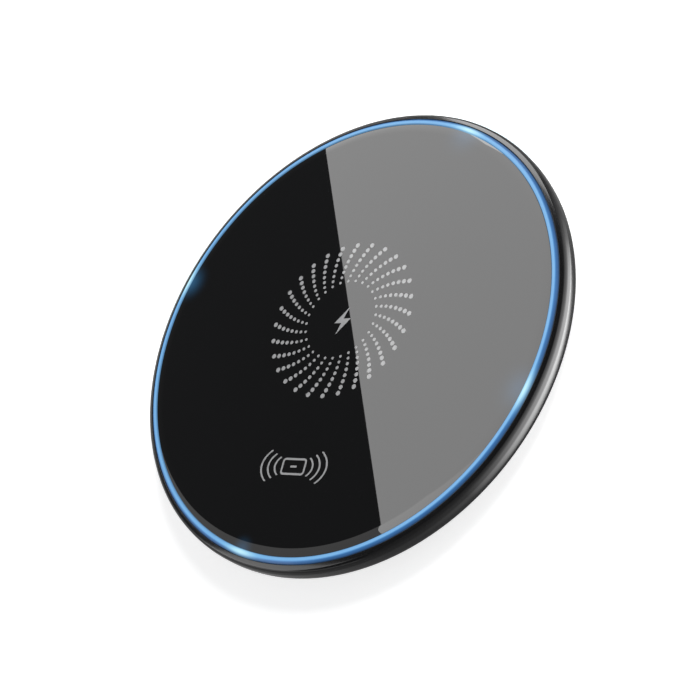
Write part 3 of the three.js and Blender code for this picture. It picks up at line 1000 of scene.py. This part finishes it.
def glare_card():
    """The softbox whose straight edge crosses the glass, bevel and all."""
    near, far = glare_end(1), glare_end(-1)
    steps = 400
    edge = [near.lerp(far, step / steps) for step in range(steps + 1)]
    first, last = degrees_of(far), degrees_of(near)
    rim = [rim_point(first + (last - first) * step / steps) for step in range(steps + 1)]
    outline = [mirrored(point) for point in edge]
    centre = mirrored(Vector((0, 0)))
    outline += [centre.lerp(mirrored(point), 1.04) for point in rim]
    ceiling_card("glare_card", outline, glare_material())


def rim_card(name, height, radiance, arc):
    """A card that lights an arc of the bevel, from a list of (degrees, where its inner edge lies)."""
    centre = mirrored(Vector((0, 0)), height)
    inner, outer = [], []
    steps = 12
    for (first, first_part), (last, last_part) in zip(arc, arc[1:]):
        for step in range(steps):
            degrees = first + (last - first) * step / steps
            part = first_part + (last_part - first_part) * step / steps
            inner.append(mirrored(rim_point(degrees, part), height))
            outer.append(centre.lerp(mirrored(rim_point(degrees), height), 1.06))
    ceiling_card(name, inner + outer[::-1], glow_material(name, radiance))


def floor_material():
    nodes = Nodes("pale_floor")
    cloud = nodes.noise(6.0, detail=2.0)
    nodes.link(nodes.mix(cloud, (0.84, 0.84, 0.84), (0.86, 0.86, 0.86)), nodes.shader.inputs["Base Color"])
    nodes.set(Roughness=0.9)
    nodes.shader.inputs["Specular IOR Level"].default_value = 0.0
    # Painted LED glow: the floor's emission turns blue round the first two LEDs, standing in for their light
    # falling on the floor.
    painted_floor_glow_radius, painted_floor_glow_reach = 0.0505, 0.024      # metres
    painted_floor_glow = nodes.nearness_to_leds(painted_floor_glow_radius, painted_floor_glow_reach, LED_DEGREES[:2])
    painted_floor_glow = nodes.math("POWER", painted_floor_glow, 1.5)
    nodes.link(nodes.mix(painted_floor_glow, (1.0, 1.0, 1.0), (0.62, 0.90, 1.0)), nodes.shader.inputs["Emission Color"])
    nodes.shader.inputs["Emission Strength"].default_value = 0.74
    return nodes.material


def pale_floor():
    """A floor that curves up all round into a low backdrop."""
    flat_radius, rise = 1.9, 0.75        # metres
    steps, count = 12, 96
    profile = [(flat_radius, 0.0)]
    for step in range(1, steps + 1):
        angle = math.pi / 2 * step / steps
        profile.append((flat_radius + rise * math.sin(angle), rise * (1 - math.cos(angle))))
    bm = bmesh.new()
    loops = []
    for r, z in profile:
        loops.append([
            bm.verts.new((r * math.cos(2 * math.pi * i / count), r * math.sin(2 * math.pi * i / count), z))
            for i in range(count)
        ])
    bm.faces.new(loops[0])
    for first, second in zip(loops, loops[1:]):
        bridge_loops(bm, first, second)
    bm.faces.ensure_lookup_table()
    bmesh.ops.recalc_face_normals(bm, faces=bm.faces)
    if bm.faces[0].normal.z < 0:
        bmesh.ops.reverse_faces(bm, faces=bm.faces)
    mesh = bpy.data.meshes.new("floor")
    bm.to_mesh(mesh)
    bm.free()
    mesh.shade_smooth()
    mesh.materials.append(floor_material())
    obj = bpy.data.objects.new("floor", mesh)
    bpy.context.scene.collection.objects.link(obj)


GLOW_INNER = 46.0                    # millimetres from the pad's axis
GLOW_OUTER = 300.0
GLOW_RISE = 420.0                    # its outer edge stands this high
GLOW_ON_FLOOR = (-150.0, 112.0)      # degrees from +X
GLOW_UPRIGHT = (-92.0, 78.0)
GLOW_RADIANCE = 15.0
GLOW_FLOOR = 0.4                     # what is left where the glow has faded out
GLOW_BY_RADIUS = (
    (46.0, 0.0), (52.8, 0.0), (52.95, 0.12), (53.15, 0.54), (53.35, 0.90), (53.6, 1.0),
    (54.15, 1.0), (55.1, 0.96), (60.0, 0.76), (76.0, 0.52), (110.0, 0.42), (300.0, 0.40),
)
GLOW_BY_WALL_DEGREES = (             # by the place on the wall that mirrors it
    (-80, 0.0), (-60, 0.0), (-50, 0.015), (-40, 0.06), (-32, 0.28), (-25, 0.60), (-18, 0.82),
    (-10, 1.0), (0, 0.98), (5, 0.88), (10, 0.74), (15, 0.44), (20, 0.12), (26, 0.02), (34, 0.0),
)
GLOW_AXIS_DEGREES = -28.6            # far off, the glow swings away from this direction


def wall_glow_material():
    """Brightest just outside the pad's edge and towards +X, and nearly black elsewhere."""
    nodes = Nodes("wall_glow")
    radius, angle = nodes.radius_and_angle()

    def outwards(millimetres):
        return ((millimetres - GLOW_INNER) / (GLOW_OUTER - GLOW_INNER)) ** (1 / 3)

    def around(degrees):
        first, last = GLOW_BY_WALL_DEGREES[0][0], GLOW_BY_WALL_DEGREES[-1][0]
        return (degrees - first) / (last - first)

    by_radius = nodes.ramp(
        nodes.math("POWER", nodes.remap(radius, GLOW_INNER * MM, GLOW_OUTER * MM), 1 / 3),
        [(outwards(millimetres), (level,) * 3) for millimetres, level in GLOW_BY_RADIUS],
    )
    # Close up, each place on the wall mirrors the floor before it. Far off, it mirrors twice as far round.
    distance = nodes.math("SUBTRACT", 1.0, nodes.math("DIVIDE", PAD_RADIUS * MM, radius))
    far_off = nodes.math("POWER", nodes.math("MAXIMUM", distance, 0.0), 0.6)
    turn = nodes.math("MULTIPLY", nodes.math("SUBTRACT", angle, math.radians(GLOW_AXIS_DEGREES)), 0.5)
    wall_angle = nodes.math("SUBTRACT", angle, nodes.math("MULTIPLY", far_off, turn))
    by_angle = nodes.ramp(
        nodes.remap(
            wall_angle,
            math.radians(GLOW_BY_WALL_DEGREES[0][0]),
            math.radians(GLOW_BY_WALL_DEGREES[-1][0]),
        ),
        [(around(degrees), (level,) * 3) for degrees, level in GLOW_BY_WALL_DEGREES],
    )
    parts = nodes.add("ShaderNodeSeparateXYZ")
    nodes.link(nodes.place, parts.inputs[0])
    by_height = nodes.math("POWER", nodes.remap(parts.outputs["Z"], 0.001, GLOW_RISE * MM, 1.0, 0.0), 1.6)
    emission = nodes.add("ShaderNodeEmission")
    strength = nodes.math("MULTIPLY", nodes.math("MULTIPLY", by_radius, by_angle), by_height)
    strength = nodes.math("ADD", nodes.math("MULTIPLY", strength, GLOW_RADIANCE), GLOW_FLOOR)
    nodes.link(strength, emission.inputs["Strength"])
    nodes.link(emission.outputs[0], nodes.tree.nodes["Material Output"].inputs["Surface"])
    return nodes.material


def wall_glow():
    """Light lying beside the pad and rising far off, which shows only mirrored in the side wall."""
    bm = bmesh.new()
    floor_height = 0.2
    steps = 120
    for (first, last), edges in (
        (GLOW_ON_FLOOR, ((GLOW_INNER, floor_height), (GLOW_OUTER, floor_height))),
        (GLOW_UPRIGHT, ((GLOW_OUTER, floor_height), (GLOW_OUTER, GLOW_RISE))),
    ):
        near, far = (
            [
                bm.verts.new(Vector((
                    radius * math.cos(math.radians(first + (last - first) * step / steps)),
                    radius * math.sin(math.radians(first + (last - first) * step / steps)),
                    height,
                )) * MM)
                for step in range(steps + 1)
            ]
            for radius, height in edges
        )
        for step in range(steps):
            bm.faces.new((near[step], near[step + 1], far[step + 1], far[step]))
    mesh = bpy.data.meshes.new("wall_glow")
    bm.to_mesh(mesh)
    bm.free()
    mesh.materials.append(wall_glow_material())
    obj = bpy.data.objects.new("wall_glow", mesh)
    bpy.context.scene.collection.objects.link(obj)
    obj.visible_camera = False
    only_mirrored(obj)


def key_light():
    """A soft light from the socket's side that throws a faint shadow out of the opposite edge."""
    azimuth, elevation, distance = math.radians(72), math.radians(40), 0.8
    outwards = Vector((
        math.cos(azimuth) * math.cos(elevation),
        math.sin(azimuth) * math.cos(elevation),
        math.sin(elevation),
    ))
    data = bpy.data.lights.new("key", "AREA")
    data.shape = "DISK"
    data.size = 0.42
    data.energy = 5.0
    light = bpy.data.objects.new("key", data)
    light.matrix_world = outwards.to_track_quat("Z", "Y").to_matrix().to_4x4()
    light.location = outwards * distance
    light.visible_glossy = False
    bpy.context.scene.collection.objects.link(light)


def add_world():
    world = bpy.data.worlds.new("studio")
    bpy.context.scene.world = world
    world.use_nodes = True
    background = world.node_tree.nodes["Background"]
    background.inputs["Color"].default_value = (0.95, 0.97, 1.0, 1.0)
    background.inputs["Strength"].default_value = 0.15


pale_floor()
add_world()
key_light()
glare_card()
GLARE_NEAR_DEGREES = degrees_of(glare_end(1))
# The lower card goes on to 6 degrees past the glare's near end, a full turn on.
rim_card("lower_rim_card", CARD_HEIGHT + 0.004, LOWER_RIM_RADIANCE, [
    (212, 1.0), (226, 0.62), (245, 0.3), (265, 0.04), (366 + GLARE_NEAR_DEGREES, 0.0),
])
rim_card("near_rim_card", CARD_HEIGHT - 0.008, NEAR_RIM_RADIANCE, [
    (GLARE_NEAR_DEGREES, 0.0), (-48, 0.05), (-30, 1.0),
])
wall_glow()
facing_card("side_card", 52, 14, 0.6, 0.62, 0.32, 3.0)
only_mirrored(facing_card("fill_card", 219, 33, 0.6, 0.36, 0.42, 4.4))
only_mirrored(facing_card("rear_card", 102, 28, 0.7, 0.36, 0.34, 9.0))

bpy.context.scene.view_settings.view_transform = "Standard"
